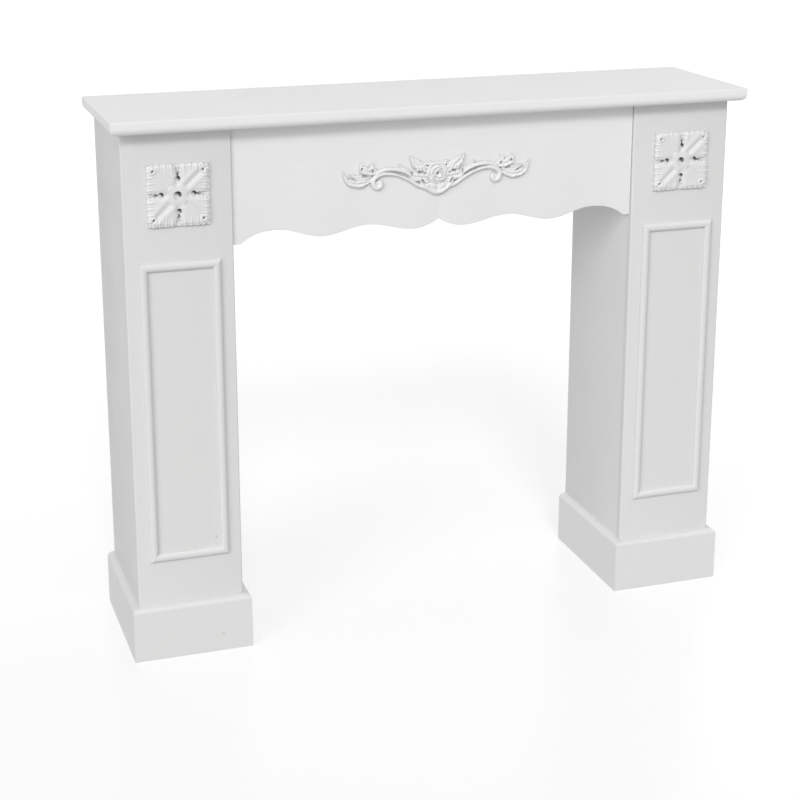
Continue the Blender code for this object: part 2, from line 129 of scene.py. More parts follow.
# Whites: how bright each paint is, as a share of WHITE. The real paint is one white: the differences
# between the boards and between the carvings are painted light and shade.
WHITE = (0.850, 0.850, 0.848)
GREYER_WHITE = (0.815, 0.815, 0.815)
WARMER_WHITE = (0.835, 0.832, 0.822)
CREAM = (0.820, 0.817, 0.808)
PAINT_SHEEN = 0.35
LEVEL_PAINTED_LIGHT = 0.96       # shelf and frieze
UPRIGHT_PAINTED_SHADE = 0.83     # pilasters
PLINTH_PAINTED_SHADE = 0.84
# Painted light: the reveals are painted lighter than the fronts, for the light that falls between the
# pilasters
REVEAL_PAINTED_LIGHT = 0.93      # inner sides, towards the hearth
ROSETTE_BRIGHTNESS = 0.86
ONLAY_BRIGHTNESS = 0.93
# Painted shade: greys in the carvings' hollows, and near black in the drilled holes
ROSETTE_SHADE = 0.62
DRILLED_SHADE = 0.05
ONLAY_SHADE = 0.58
# Thin primer on the backs
PRIMER = (0.780, 0.775, 0.760)
PRIMER_ON_FIBRE = (0.700, 0.690, 0.665)
PRIMER_CLOUD = (0.755, 0.750, 0.735)

# Small scuffs in the paint
PANEL_MARK = (-0.430, FRONT_Y, 0.222)
PLINTH_MARK = (-0.426, PLINTH_LOW.y, 0.034)
MARK_RADIUS = 0.004
MARK_GREY = (0.58, 0.58, 0.57)

# Rosettes: shares of half the size
ROSETTE_CELLS = 230           # faces across the carving
ROSETTE_TEETH = 5             # along half a side
ROSETTE_TOOTH_DEPTH = 0.022
ROSETTE_SLIT_HALF = 0.020
ROSETTE_HOLE_RADIUS = 0.135
ROSETTE_EYE_PLACE = 0.52
ROSETTE_EYE_RADIUS = 0.092
ROSETTE_CURL = (0.80, 0.78)   # middle of the curl at a leaf's tip
ROSETTE_WANDER = 0.016        # how far the hand's lines stray

# Onlay, drawn in millimetres from the middle of the rose, with x outwards and z up
DRAWN_LENGTH = 356.0
DRAWN_RELIEF = 14.5
ONLAY_MM = (ONLAY_HIGH.x - ONLAY_LOW.x) / DRAWN_LENGTH
RELIEF_MM = (ONLAY_HIGH.y - ONLAY_LOW.y) / DRAWN_RELIEF
ROSE_BELOW_SHELF = 0.105
ROSE_X = (ONLAY_LOW.x + ONLAY_HIGH.x) / 2
ROSE_Z = SHELF_LOW.z - ROSE_BELOW_SHELF
ONLAY_VOXEL = 0.0007          # fineness at which the forms grow together
ONLAY_SINK = 4.0              # how far the forms are carved past the back before it is cut flat
LOFT_ACROSS = 14              # faces across each form
# Rolls: spines, their half widths, and their heights
STEM = ((8, -31), (22, -26), (35, -21), (46, -14), (56, -8), (66, -3), (76, 1), (86, 3.5), (96, 4.3),
        (106, 3.5), (115, 0), (121, -7), (118, -17), (111, -20), (106, -15), (108, -9), (112, -10))
STEM_WIDTHS = (4.2, 4.0, 3.8, 3.5, 3.2, 3.0, 3.0, 3.0, 3.1, 3.8, 4.8, 5.2, 5.2, 5.0, 4.4, 3.6, 2.8)
STRAND = ((40, -9), (52, 0), (64, 7), (76, 10.5), (88, 12), (100, 11.5), (110, 8), (119, 1))
STRAND_WIDTHS = (2.2, 3.2, 3.8, 4.0, 4.0, 3.8, 3.4, 2.8)
# Leaves: spine, half width, share of the length where the leaf is widest, height, lobes, veins
LEAVES = (
    (((118, -3), (133, -8), (148, -11), (162, -8), (172, 1), (178, 14)), 8.0, 0.45, 9.0, 3, 6),
    (((122, 0), (138, 0), (152, 1), (165, 7)), 5.5, 0.50, 8.0, 2, 4),
    (((108, 5), (121, 8), (133, 11), (141, 17), (143, 27)), 9.0, 0.55, 10.5, 3, 5),
    (((108, 6), (118, 13), (124, 19), (122, 27)), 5.0, 0.50, 8.5, 1, 3),
    (((40, 0), (52, 4), (63, 9), (73, 20)), 5.5, 0.50, 8.0, 2, 4),
    (((8, 0), (26, 10), (41, 20), (52, 34)), 10.5, 0.50, 10.0, 3, 6),
    (((10, -8), (27, -7), (43, -4), (58, 3)), 10.0, 0.50, 9.0, 3, 9),
    (((8, -14), (22, -19), (38, -24)), 8.0, 0.55, 8.5, 2, 5),
    (((4, 12), (14, 19), (26, 19)), 5.5, 0.45, 8.0, 1, 3),
)
# The cup below the rose is one broad leaf with a rolled rim, and a small curl lies at each side of the rose
CUP = (((0, -6), (0, -22), (0, -39)), 20.0, 0.42, 8.5, 2, 4)
CUP_ROLL = ((-31, -12), (-24, -22), (-13, -31), (0, -35.5), (13, -31), (24, -22), (31, -12))
CUP_ROLL_WIDTHS = (2.2, 3.4, 4.0, 4.2, 4.0, 3.4, 2.2)
SNAIL = ((38, 4), (37, 11), (30, 13), (25, 8), (30, 4), (33, 8))
SNAIL_WIDTHS = (2.2, 2.6, 2.8, 2.6, 2.2, 1.6)
SIDE_ROLLS = ((STEM, STEM_WIDTHS, 8.0), (STRAND, STRAND_WIDTHS, 9.0), (SNAIL, SNAIL_WIDTHS, 10.5))
CUP_ROLL_HEIGHT = 9.5
# Rings of petals: how many, radius, half width, height, share of a turn each takes, turn of the ring
PETAL_RINGS = (
    (5, 16.5, 4.8, 10.0, 0.27, 0.05),
    (5, 10.5, 3.8, 12.3, 0.26, 0.15),
    (3, 5.3, 2.6, 14.5, 0.40, 0.0),
)
# Low domes: middle, radius, height
HEART = ((0.0, 0.0), 17.0, 7.5)
SCROLL_EYE = ((111.5, -12.5), 5.0, 6.0)
# Gouges: from, to, radius, depth
GOUGES = (
    ((142.5, 15), (142, 16), 1.7, 8.0),
    ((122, 11), (122.5, 12), 1.9, 8.0),
    ((132, 2.2), (140, 2.8), 1.5, 8.0),
    ((165.5, 0), (166.5, 1), 1.8, 7.0),
    ((28, 5), (34, 3), 1.5, 8.0),
    ((66, 1), (74, 4.5), 1.5, 8.0),
    ((29, -11), (25, -17), 1.6, 7.0),
    ((48, -2), (48.5, 3), 1.2, 6.0),
)
ROSE_EYE = (1.9, 7.0)         # radius, depth
ROSE_GROOVE = (19.5, 1.7, 4.5)    # radius, width, depth of the groove under the rose
SCALES = (4.4, 0.55)          # spacing and depth of the scales beside the rose

AXIS_X = Vector((1, 0, 0))
AXIS_Y = Vector((0, 1, 0))
AXIS_Z = Vector((0, 0, 1))
FACE_FORWARD = Matrix.Rotation(math.radians(90), 4, "X")


# Camera, lamps and floor

def look_from(place, aim):
    """The turn that points an object at place towards aim."""
    return (Vector(aim) - Vector(place)).to_track_quat("-Z", "Y").to_euler()


def set_camera():
    """The photograph's view."""
    data = bpy.data.cameras.new("photo_view")
    data.lens = CAMERA_LENS
    data.sensor_width = CAMERA_SENSOR
    data.shift_y = CAMERA_SHIFT
    camera = bpy.data.objects.new("photo_view", data)
    camera.location = CAMERA_PLACE
    camera.rotation_euler = look_from(CAMERA_PLACE, CAMERA_AIM)
    bpy.context.scene.collection.objects.link(camera)
    bpy.context.scene.camera = camera


def set_room_and_lamps():
    """An even white room and four soft lamps."""
    world = bpy.data.worlds.new("white_room")
    world.use_nodes = True
    tree = world.node_tree
    backdrop = tree.nodes["Background"]
    backdrop.inputs["Color"].default_value = (1.0, 1.0, 1.0, 1.0)
    rays = tree.nodes.new("ShaderNodeLightPath")
    fill = tree.nodes.new("ShaderNodeMapRange")
    fill.inputs["To Min"].default_value = ROOM_WHITE
    fill.inputs["To Max"].default_value = ROOM_FILL
    wire(tree, rays, "Is Diffuse Ray", fill, "Value")
    wire(tree, fill, "Result", backdrop, "Strength")
    bpy.context.scene.world = world
    world.cycles.sampling_method = "NONE"

    for name, left, rise, angle, strength in LAMPS:
        left, rise = math.radians(left), math.radians(rise)
        way = Vector((-math.sin(left) * math.cos(rise), -math.cos(left) * math.cos(rise), math.sin(rise)))
        data = bpy.data.lights.new(name, "SUN")
        data.angle = math.radians(angle)
        data.energy = strength
        lamp = bpy.data.objects.new(name, data)
        lamp.location = way * 5.0
        lamp.rotation_euler = look_from(way, (0.0, 0.0, 0.0))
        bpy.context.scene.collection.objects.link(lamp)
    bpy.context.scene.view_settings.view_transform = "Standard"


def lay_floor():
    """A pale floor with a slight sheen."""
    clear_selection()
    bpy.ops.mesh.primitive_plane_add(size=FLOOR_SIZE, location=(0.0, 0.0, 0.0))
    floor = bpy.context.active_object
    floor.name = "pale_floor"
    material = bpy.data.materials.new("pale_floor")
    material.use_nodes = True
    tree = material.node_tree
    shader = tree.nodes["Principled BSDF"]
    shader.inputs["Base Color"].default_value = (*FLOOR_GREY, 1.0)
    shader.inputs["Roughness"].default_value = FLOOR_ROUGHNESS
    shader.inputs["Emission Color"].default_value = (1.0, 1.0, 1.0, 1.0)
    shader.inputs["Emission Strength"].default_value = FLOOR_GLOW
    bounce = tree.nodes.new("ShaderNodeEmission")
    bounce.inputs["Strength"].default_value = FLOOR_BOUNCE
    rays = tree.nodes.new("ShaderNodeLightPath")
    choice = tree.nodes.new("ShaderNodeMixShader")
    wire(tree, rays, "Is Diffuse Ray", choice, "Fac")
    tree.links.new(shader.outputs["BSDF"], choice.inputs[1])
    tree.links.new(bounce.outputs["Emission"], choice.inputs[2])
    wire(tree, choice, "Shader", tree.nodes["Material Output"], "Surface")
    floor.data.materials.append(material)


# Paint

def wire(tree, source, output, target, socket):
    """Join an output to an input."""
    tree.links.new(source.outputs[output], target.inputs[socket])


def noise(tree, coordinates, scale, stretch, detail=4.0):
    """Noise on the object's own coordinates, with stretch drawing it out along an axis."""
    mapping = tree.nodes.new("ShaderNodeMapping")
    mapping.inputs["Scale"].default_value = stretch
    wire(tree, coordinates, "Object", mapping, "Vector")
    texture = tree.nodes.new("ShaderNodeTexNoise")
    texture.inputs["Scale"].default_value = scale
    texture.inputs["Detail"].default_value = detail
    wire(tree, mapping, "Vector", texture, "Vector")
    return texture


def spread(tree, texture, low, high):
    """The texture's usual range mapped on to low .. high."""
    node = tree.nodes.new("ShaderNodeMapRange")
    node.inputs["From Min"].default_value = 0.3
    node.inputs["From Max"].default_value = 0.7
    node.inputs["To Min"].default_value = low
    node.inputs["To Max"].default_value = high
    wire(tree, texture, "Fac", node, "Value")
    return node


def blend_colours(tree, factor, output, first, second):
    """A colour between two, by a factor; the first may be a colour or a node that gives one."""
    node = tree.nodes.new("ShaderNodeMix")
    node.data_type = "RGBA"
    if isinstance(first, tuple):
        node.inputs["A"].default_value = (*first, 1.0)
    else:
        wire(tree, first, "Result", node, "A")
    node.inputs["B"].default_value = (*second, 1.0)
    wire(tree, factor, output, node, "Factor")
    return node


def add_bump(tree, shader, textures):
    """Bump from (texture, strength, depth) in turn."""
    before = None
    for texture, strength, depth in textures:
        bump = tree.nodes.new("ShaderNodeBump")
        bump.inputs["Strength"].default_value = strength
        bump.inputs["Distance"].default_value = depth
        wire(tree, texture, "Fac", bump, "Height")
        if before:
            wire(tree, before, "Normal", bump, "Normal")
        before = bump
    wire(tree, before, "Normal", shader, "Normal")


def dimmed(colour, brightness):
    """A colour at a share of its brightness."""
    return tuple(brightness * value for value in colour)


def new_paint(name):
    """A material with its node tree, its shader and the object's own coordinates."""
    material = bpy.data.materials.new(name)
    material.use_nodes = True
    tree = material.node_tree
    return material, tree, tree.nodes["Principled BSDF"], tree.nodes.new("ShaderNodeTexCoord")


def satin_white(name, run, brightness, marks=()):
    """Satin white paint, brushed along a run: "X", "Y" or "Z". Each mark is the place of a small scuff."""
    material, tree, shader, coordinates = new_paint(name)
    long_way = tuple(0.05 if axis == run else 1.0 for axis in "XYZ")
    strokes = noise(tree, coordinates, 260.0, long_way, 3.0)
    clouds = noise(tree, coordinates, 9.0, (1.0, 1.0, 1.0))
    peel = noise(tree, coordinates, 900.0, (1.0, 1.0, 1.0), 2.0)

    white, greyer, warmer = (dimmed(colour, brightness) for colour in (WHITE, GREYER_WHITE, WARMER_WHITE))
    streaked = blend_colours(tree, spread(tree, strokes, 0.0, 0.6), "Result", white, greyer)
    colour = blend_colours(tree, spread(tree, clouds, 0.0, 0.5), "Result", streaked, warmer)
    for mark in marks:
        reach = tree.nodes.new("ShaderNodeVectorMath")
        reach.operation = "DISTANCE"
        reach.inputs[1].default_value = mark
        wire(tree, coordinates, "Object", reach, 0)
        scuff = tree.nodes.new("ShaderNodeMapRange")
        scuff.inputs["From Min"].default_value = MARK_RADIUS
        scuff.inputs["From Max"].default_value = 0.3 * MARK_RADIUS
        wire(tree, reach, "Value", scuff, "Value")
        colour = blend_colours(tree, scuff, "Result", colour, MARK_GREY)
    wire(tree, colour, "Result", shader, "Base Color")
    wire(tree, spread(tree, clouds, 0.44, 0.56), "Result", shader, "Roughness")
    shader.inputs["Specular IOR Level"].default_value = PAINT_SHEEN
    add_bump(tree, shader, ((strokes, 0.10, 0.0006), (peel, 0.06, 0.0002)))
    return material


def carved_white(name, back, front, brightness, hollows):
    """The same white on carving, with painted shade: its hollows, towards the back plane, turn grey."""
    material, tree, shader, coordinates = new_paint(name)
    split = tree.nodes.new("ShaderNodeSeparateXYZ")
    wire(tree, coordinates, "Object", split, "Vector")
    depth = tree.nodes.new("ShaderNodeMapRange")
    depth.interpolation_type = "SMOOTHSTEP"
    depth.inputs["From Min"].default_value = back + 0.45 * (front - back)
    depth.inputs["From Max"].default_value = back + 0.10 * (front - back)
    wire(tree, split, "Y", depth, "Value")
    mottle = noise(tree, coordinates, 160.0, (1.0, 1.0, 1.0))
    peel = noise(tree, coordinates, 900.0, (1.0, 1.0, 1.0), 2.0)
    white, cream = (dimmed(colour, brightness) for colour in (WHITE, CREAM))
    mottled = blend_colours(tree, spread(tree, mottle, 0.0, 0.5), "Result", white, cream)
    # Painted shade, deeper towards the back plane
    shaded = blend_colours(tree, depth, "Result", mottled, (hollows, hollows, hollows))
    wire(tree, shaded, "Result", shader, "Base Color")
    wire(tree, spread(tree, mottle, 0.40, 0.52), "Result", shader, "Roughness")
    shader.inputs["Specular IOR Level"].default_value = PAINT_SHEEN
    add_bump(tree, shader, ((mottle, 0.08, 0.0004), (peel, 0.06, 0.0002)))
    return material


def primer(name):
    """Thin matt primer on the boards' backs, with the wood's fibre showing."""
    material, tree, shader, coordinates = new_paint(name)
    fibre = noise(tree, coordinates, 420.0, (1.0, 1.0, 0.06), 5.0)
    clouds = noise(tree, coordinates, 14.0, (1.0, 1.0, 1.0))
    fibred = blend_colours(tree, spread(tree, fibre, 0.0, 1.0), "Result", PRIMER, PRIMER_ON_FIBRE)
    clouded = blend_colours(tree, spread(tree, clouds, 0.0, 0.6), "Result", fibred, PRIMER_CLOUD)
    wire(tree, clouded, "Result", shader, "Base Color")
    wire(tree, spread(tree, clouds, 0.70, 0.85), "Result", shader, "Roughness")
    add_bump(tree, shader, ((fibre, 0.25, 0.0006),))
    return material


# Shaping

def clear_selection():
    """Object mode, with nothing selected."""
    if bpy.context.object and bpy.context.object.mode != "OBJECT":
        bpy.ops.object.mode_set(mode="OBJECT")
    bpy.ops.object.select_all(action="DESELECT")


def only(piece):
    """Make this piece the selected and active one."""
    clear_selection()
    piece.select_set(True)
    bpy.context.view_layer.objects.active = piece


def named(name):
    """Name the piece that was just added."""
    piece = bpy.context.active_object
    piece.name = name
    piece.data.name = name
    return piece


def block(name, low, high):
    """A blank board between two corners."""
    clear_selection()
    low, high = Vector(low), Vector(high)
    bpy.ops.mesh.primitive_cube_add(size=1.0, location=(low + high) / 2, scale=high - low)
    bpy.ops.object.transform_apply(location=True, rotation=True, scale=True)
    return named(name)


def bevel_edges(piece, wanted, offset, segments):
    """Round the edges whose middle and direction satisfy wanted."""
    only(piece)
    bpy.ops.object.mode_set(mode="EDIT")
    bpy.ops.mesh.select_mode(type="EDGE")
    bpy.ops.mesh.select_all(action="DESELECT")
    shape = bmesh.from_edit_mesh(piece.data)
    for edge in shape.edges:
        start, end = (vert.co for vert in edge.verts)
        edge.select_set(wanted((start + end) / 2, (end - start).normalized()))
    bmesh.update_edit_mesh(piece.data)
    bpy.ops.mesh.bevel(offset=offset, segments=segments, affect="EDGES", clamp_overlap=True)
    bpy.ops.object.mode_set(mode="OBJECT")


def close_up(piece):
    """Turn the faces outwards."""
    only(piece)
    bpy.ops.object.mode_set(mode="EDIT")
    bpy.ops.mesh.select_all(action="SELECT")
    bpy.ops.mesh.normals_make_consistent(inside=False)
    bpy.ops.object.mode_set(mode="OBJECT")


def smooth(piece, degrees=35.0):
    """Smooth shading with the sharp edges kept."""
    only(piece)
    bpy.ops.object.shade_smooth_by_angle(angle=math.radians(degrees))


def hang(piece, nodes, paint, back_paint=None):
    """Paint a piece, put it in place of its CAD nodes and let it ride on the frame.

    With back_paint, the faces that look towards the wall get it.
    """
    piece.data.materials.clear()
    piece.data.materials.append(paint)
    if back_paint:
        piece.data.materials.append(back_paint)
        for face in piece.data.polygons:
            face.material_index = 1 if face.normal.y > 0.9 else 0
    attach(piece, "root")
    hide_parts(*nodes)


def section_strip(name, section, length, long_side, mitred, origin, axes):
    """A strip of moulding: section (p, q) drawn out along a run, with axes = directions of p, q and run.

    long_side is the p at which the run has its full length, and mitred says which of its two ends are
    cut back at 45 degrees from there.
    """
    clear_selection()
    bpy.ops.mesh.primitive_circle_add(vertices=len(section), radius=1.0, fill_type="NGON")
    strip = named(name)
    for vert, (p, q) in zip(strip.data.vertices, section):
        vert.co = (p, q, -length / 2)
    bpy.ops.object.mode_set(mode="EDIT")
    bpy.ops.mesh.select_all(action="SELECT")
    bpy.ops.mesh.extrude_region_move(TRANSFORM_OT_translate={"value": (0.0, 0.0, length)})
    bpy.ops.object.mode_set(mode="OBJECT")
    for vert in strip.data.vertices:
        if mitred[1 if vert.co.z > 0 else 0]:
            vert.co.z -= math.copysign(abs(vert.co.x - long_side), vert.co.z)
    strip.data.transform(Matrix.Translation(origin) @ Matrix(axes).transposed().to_4x4())
    close_up(strip)
    return strip


# Boards

def make_shelf(paint, back_paint):
    """The mantel shelf: square above, rounded under its front and ends."""
    shelf = block("shelf_board", SHELF_LOW, SHELF_HIGH)

    def showing(middle):
        return abs(middle.x) > SHELF_HIGH.x * 0.99 or middle.y < SHELF_LOW.y * 0.99

    def under(middle, way):
        return abs(way.z) < 0.5 and middle.z < SHELF_LOW.z + SHELF_ARRIS and showing(middle)

    def above(middle, way):
        return abs(way.z) < 0.5 and middle.z > SHELF_HIGH.z - SHELF_ARRIS and showing(middle)

    bevel_edges(shelf, under, SHELF_QUARTER_ROUND, 14)
    bevel_edges(shelf, above, SHELF_ARRIS, 4)
    smooth(shelf)
    hang(shelf, ["mantel_shelf"], paint, back_paint)


def ease_step(share):
    """A quick rise that flattens out, for the step beside a pilaster."""
    return 1 - (1 - share) ** 2.5


def ease_wave(share):
    """A wave's rise or fall."""
    return (1 - math.cos(math.pi * share)) / 2


def ease_cusp(share):
    """A rise that steepens to a point, for the cusp in the middle."""
    return share * share


def frieze_edge():
    """Points (x, z) along the scalloped lower edge of the frieze, from left to right."""
    eases = [ease_wave] * (len(FRIEZE_EDGE) - 1)
    eases[1] = ease_step
    eases[-1] = ease_cusp
    half = []
    for index, ease in enumerate(eases):
        (share_a, rise_a), (share_b, rise_b) = FRIEZE_EDGE[index:index + 2]
        for step in range(FRIEZE_EDGE_STEPS):
            part = step / FRIEZE_EDGE_STEPS
            share = share_a + (share_b - share_a) * part
            half.append((share * FRIEZE_HIGH.x, FRIEZE_LOW.z + rise_a + (rise_b - rise_a) * ease(part)))
    middle = [(0.0, FRIEZE_LOW.z + FRIEZE_EDGE[-1][1])]
    return [(-x, z) for x, z in half] + middle + half[::-1]


def make_frieze(paint, back_paint):
    """The frieze: a sheet whose lower rim is cut to the scallops, then given its thickness."""
    edge = frieze_edge()
    columns = len(edge) - 1
    clear_selection()
    bpy.ops.mesh.primitive_grid_add(x_subdivisions=columns, y_subdivisions=1, size=1.0)
    frieze = named("frieze")
    for vert in frieze.data.vertices:
        x, z = edge[round((vert.co.x + 0.5) * columns)]
        vert.co = (x, FRIEZE_LOW.y, FRIEZE_HIGH.z if vert.co.y > 0 else z)
    bpy.ops.object.mode_set(mode="EDIT")
    bpy.ops.mesh.select_all(action="SELECT")
    bpy.ops.mesh.extrude_region_move(TRANSFORM_OT_translate={"value": (0.0, BOARD, 0.0)})
    bpy.ops.object.mode_set(mode="OBJECT")
    close_up(frieze)

    def front_rim(middle, way):
        below = middle.z < FRIEZE_LOW.z + 0.03 and abs(way.z) < 0.999
        at_end = abs(middle.x) > FRIEZE_HIGH.x - 0.0001
        return middle.y < FRIEZE_LOW.y + 0.0001 and abs(way.y) < 0.5 and (below or at_end)

    bevel_edges(frieze, front_rim, FRIEZE_ARRIS, 4)
    smooth(frieze)
    hang(frieze, ["frieze_board"], paint, back_paint)


def make_pilaster(side_name, side, paint, reveal_painted_light, back_paint):
    """A pilaster: a front board with eased arrises, and two side boards behind it."""
    low = Vector((min(side * PILASTER_INNER_X, side * PILASTER_OUTER_X), FRONT_Y, 0.0))
    high = Vector((max(side * PILASTER_INNER_X, side * PILASTER_OUTER_X), FRONT_Y + BOARD, PILASTER_HIGH.z))
    front = block(side_name + "_pilaster_face", low, high)

    def front_arris(middle, way):
        return abs(way.z) > 0.5 and middle.y < FRONT_Y + BOARD / 2

    bevel_edges(front, front_arris, PILASTER_ARRIS, 5)
    smooth(front)
    hang(front, [side_name + "_pilaster_front"], paint, back_paint)

    # The inner side board gets the paint that is painted lighter
    sides = (("outer", PILASTER_OUTER_X, -1, paint), ("inner", PILASTER_INNER_X, 1, reveal_painted_light))
    for where, face_x, inwards, side_paint in sides:
        xs = sorted((side * face_x, side * (face_x + inwards * BOARD)))
        board = block(f"{side_name}_pilaster_{where}_return", (xs[0], FRONT_Y + BOARD, 0.0),
                      (xs[1], BACK_Y, PILASTER_HIGH.z))

        def back_arris(middle, way):
            return abs(way.z) > 0.5 and middle.y > BACK_Y - BOARD / 2

        bevel_edges(board, back_arris, BOARD_ARRIS, 2)
        smooth(board)
        hang(board, [f"{side_name}_pilaster_{where}_side"], side_paint, back_paint)


# Mouldings

def plinth_section():
    """Section of the skirting: p out from the pilaster, q up, with a rounded upper edge."""
    reach = PLINTH_PROJECTION - PLINTH_TOP_FLAT
    spring = PLINTH_HIGH.z - PLINTH_ROUND_RISE
    points = [(0.0, 0.0), (PLINTH_PROJECTION, 0.0)]
    for step in range(PLINTH_ROUND_STEPS + 1):
        angle = math.radians(90) * step / PLINTH_ROUND_STEPS
        out = PLINTH_PROJECTION - reach * (1 - math.cos(angle))
        points.append((out, spring + PLINTH_ROUND_RISE * math.sin(angle)))
    points.append((0.0, PLINTH_HIGH.z))
    return points


def make_plinth(side_name, side, paint, reveal_painted_light, back_paint):
    """The skirting round one pilaster, mitred at the front corners."""
    section = plinth_section()
    reach = PLINTH_PROJECTION
    width = PILASTER_OUTER_X - PILASTER_INNER_X
    front = section_strip(side_name + "_plinth_face", section, width + 2 * reach, reach, (True, True),
                          (side * PILASTER_MIDDLE_X, FRONT_Y, 0.0), (-AXIS_Y, AXIS_Z, AXIS_X))
    smooth(front)
    hang(front, [side_name + "_plinth_front"], paint, back_paint)
    length = BACK_Y - (FRONT_Y - reach)
    # The inner side of the skirting gets the paint that is painted lighter
    sides = (("outer", PILASTER_OUTER_X, 1, paint), ("inner", PILASTER_INNER_X, -1, reveal_painted_light))
    for where, face_x, outwards, side_paint in sides:
        out = side * outwards * AXIS_X
        board = section_strip(f"{side_name}_plinth_{where}_return", section, length, reach, (False, True),
                              (side * face_x, BACK_Y - length / 2, 0.0), (out, AXIS_Z, -AXIS_Y))
        smooth(board)
        hang(board, [f"{side_name}_plinth_{where}_side"], side_paint, back_paint)


def moulding_section():
    """Section of the panel moulding: p across it from its outer edge, q out from the pilaster."""
    points = [(0.0, 0.0)]
    rise = MOULDING_RISE - MOULDING_FILLET
    for step in range(MOULDING_STEPS + 1):
        angle = math.pi * step / MOULDING_STEPS
        across = MOULDING_WIDTH * (1 - math.cos(angle)) / 2
        points.append((across, MOULDING_FILLET + rise * math.sin(angle)))
    points.append((MOULDING_WIDTH, 0.0))
    return points


def make_panel(side_name, side, rail_paint, stile_paint):
    """The mitred frame of half-round moulding on one pilaster."""
    section = moulding_section()
    width = PANEL_TOP_HIGH.x - PANEL_TOP_LOW.x
    height = PANEL_TOP_HIGH.z - PANEL_BOTTOM_LOW.z
    middle_x = side * PILASTER_MIDDLE_X
    middle_z = PANEL_BOTTOM_LOW.z + height / 2
    strips = (
        ("top", width, (middle_x, FRONT_Y, PANEL_TOP_HIGH.z), -AXIS_Z, AXIS_X, rail_paint),
        ("bottom", width, (middle_x, FRONT_Y, PANEL_BOTTOM_LOW.z), AXIS_Z, AXIS_X, rail_paint),
        ("outer", height, (middle_x + side * width / 2, FRONT_Y, middle_z), -side * AXIS_X, AXIS_Z,
         stile_paint),
        ("inner", height, (middle_x - side * width / 2, FRONT_Y, middle_z), side * AXIS_X, AXIS_Z,
         stile_paint),
    )
    for where, length, origin, inwards, run, paint in strips:
        strip = section_strip(
            f"{side_name}_panel_{where}_strip", section, length, 0.0, (True, True), origin,
            (inwards, -AXIS_Y, run),
        )
        smooth(strip)
        hang(strip, [f"{side_name}_panel_moulding_{where}"], paint)


# Carving

def ramp(value, low, high):
    """Smooth step from 0 at low to 1 at high."""
    share = min(max((value - low) / (high - low), 0.0), 1.0)
    return share * share * (3 - 2 * share)


def hump(value, middle, width):
    """A bell of height 1 about middle."""
    return math.exp(-((value - middle) / width) ** 2)


def rosette_height(u, v):
    """Relief of the rosette as a share of its full relief, at u and v from -1 to 1.

    Four folded leaves point to the corners, each with a channel along its diagonal, ribs that run out to
    toothed edges and a small drilled curl at its tip. The leaves part at slits that widen outwards from a
    drilled eye, and the middle is a ring round a hole.
    """
    u, v = u + ROSETTE_WANDER * math.sin(5.0 * v + 1.0), v + ROSETTE_WANDER * math.sin(6.0 * u + 2.0)
    a, b = abs(u), abs(v)
    near, far = min(a, b), max(a, b)
    distance = math.hypot(u, v)
    fold = (far - near) / math.sqrt(2)
    height = 0.58 + 0.24 * ramp(near, 0.0, 0.20)
    height += 0.11 * hump(fold, 0.17, 0.08)
    height -= 0.16 * hump(fold, 0.0, 0.07) * ramp(distance, 0.30, 0.45)
    rim = ramp(far, 0.62, 0.92)
    height += (0.030 * math.cos(2 * math.pi * near * ROSETTE_TEETH)
               + 0.040 * math.cos(4 * math.pi * near * ROSETTE_TEETH)) * rim
    height -= 0.22 * ramp(far, 0.88, 1.0)
    curl = math.hypot(a - ROSETTE_CURL[0], b - ROSETTE_CURL[1])
    height += 0.14 * hump(curl, 0.085, 0.035)
    opening = max(far - ROSETTE_EYE_PLACE, 0.0)
    slit_half = ROSETTE_SLIT_HALF + opening * (0.16 + 0.08 * math.cos(2 * math.pi * far / 0.14))
    slit = 1 - ramp(near, slit_half * 0.75, slit_half * 1.25)
    slit *= ramp(opening, 0.0, 0.06) * (1 - ramp(far, 0.86, 1.0))
    height -= (0.42 - 0.16 * ramp(far, 0.60, 0.85)) * slit
    height += (0.88 - height) * (1 - ramp(distance, 0.18, 0.40))
    height -= 0.04 * hump(distance, 0.38, 0.04)
    eye_lean = u + v - math.copysign(ROSETTE_EYE_PLACE, u if a > b else v)
    drilled = (
        (distance, u + v, ROSETTE_HOLE_RADIUS, 0.44),
        (curl, 0.0, 0.032, 0.10),
        (math.hypot(near, far - ROSETTE_EYE_PLACE), eye_lean, ROSETTE_EYE_RADIUS, 0.34),
    )
    for reach, lean, radius, rise in drilled:
        floor = 0.08 + rise * ramp(-lean / radius, -1.3, 1.3)
        height += (floor - height) * (1 - ramp(reach, radius * 0.88, radius * 1.08))
    return max(height, 0.05)


def rosette_blank(name):
    """A square blank with a fine grid on its face, a rim and a flat back, facing +Z."""
    clear_selection()
    bpy.ops.mesh.primitive_grid_add(x_subdivisions=ROSETTE_CELLS, y_subdivisions=ROSETTE_CELLS, size=2.0)
    blank = named(name)
    bpy.ops.object.mode_set(mode="EDIT")
    bpy.ops.mesh.select_mode(type="EDGE")
    bpy.ops.mesh.select_all(action="SELECT")
    bpy.ops.mesh.region_to_loop()
    bpy.ops.mesh.extrude_region_move(TRANSFORM_OT_translate={"value": (0.0, 0.0, -1.0)})
    bpy.ops.mesh.edge_face_add()
    bpy.ops.object.mode_set(mode="OBJECT")
    return blank


